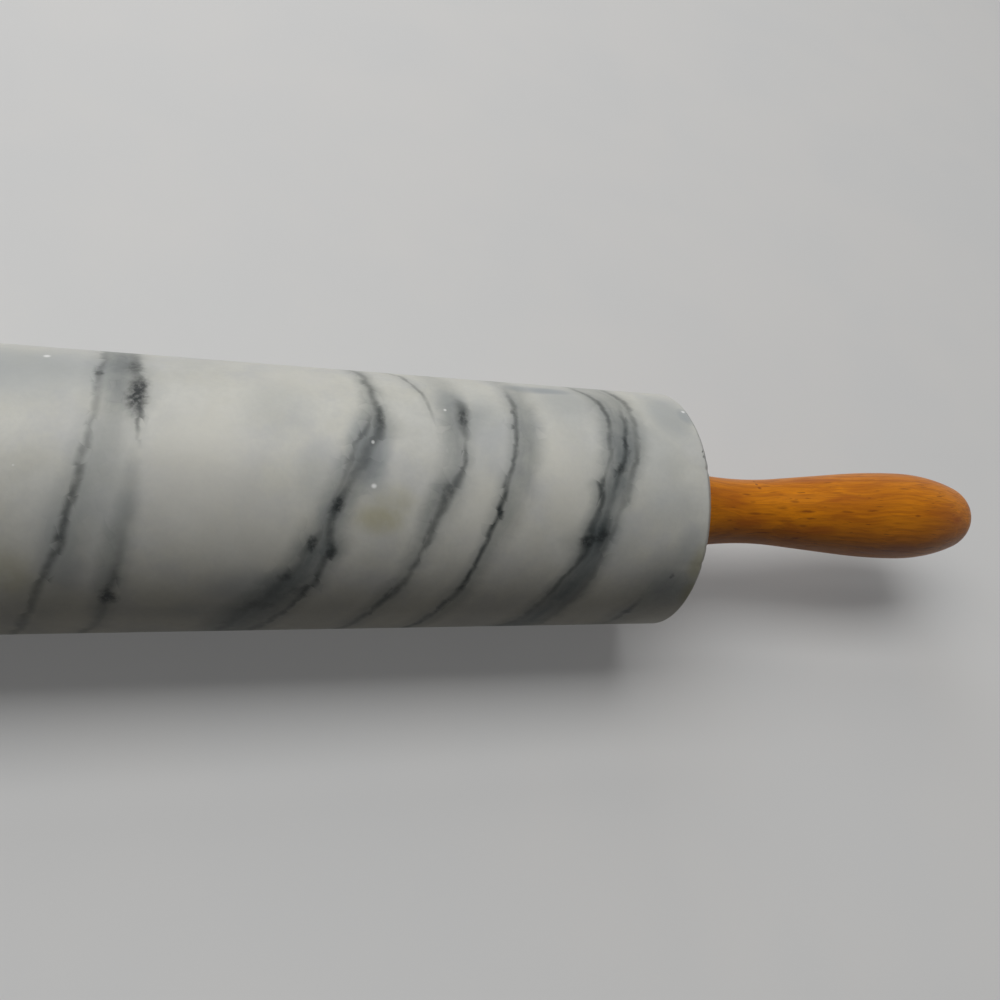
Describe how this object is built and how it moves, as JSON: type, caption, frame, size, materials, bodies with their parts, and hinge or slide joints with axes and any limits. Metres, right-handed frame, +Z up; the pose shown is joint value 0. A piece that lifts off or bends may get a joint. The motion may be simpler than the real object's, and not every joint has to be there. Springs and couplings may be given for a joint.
{
  "type": "marble rolling pin",
  "caption": "Stone cylinder barrel that turns freely on a steel axle between two turned wooden handles, for rolling out dough.",
  "frame": {"origin": "centre of the barrel, on the rolling axis", "axes": "+X along the rolling axis towards the right handle, +Z up, +Y away from the user"},
  "size_m": [0.4608, 0.06, 0.06],
  "materials": {
    "marble": "polished white marble with grey veins",
    "bright_steel": "bright drawn and turned",
    "nylon": "natural moulded nylon",
    "zinc_plated_steel": "bright zinc plate",
    "brass": "turned",
    "varnished_wood": "clear amber varnish over turned beech"
  },
  "bodies": {
    "barrel": {"barrel": "marble", "left_bush": "nylon", "right_bush": "nylon"},
    "handles": {"axle_rod": "bright_steel", "left_washer": "zinc_plated_steel", "right_washer": "zinc_plated_steel", "left_insert": "brass", "right_insert": "brass", "left_handle": "varnished_wood", "right_handle": "varnished_wood"}
  },
  "joints": [
    {"name": "handles_turn", "type": "hinge", "parent": "barrel", "child": "handles", "pos_m": [0, 0, 0], "axis": [1, 0, 0], "continuous": true}
  ]
}
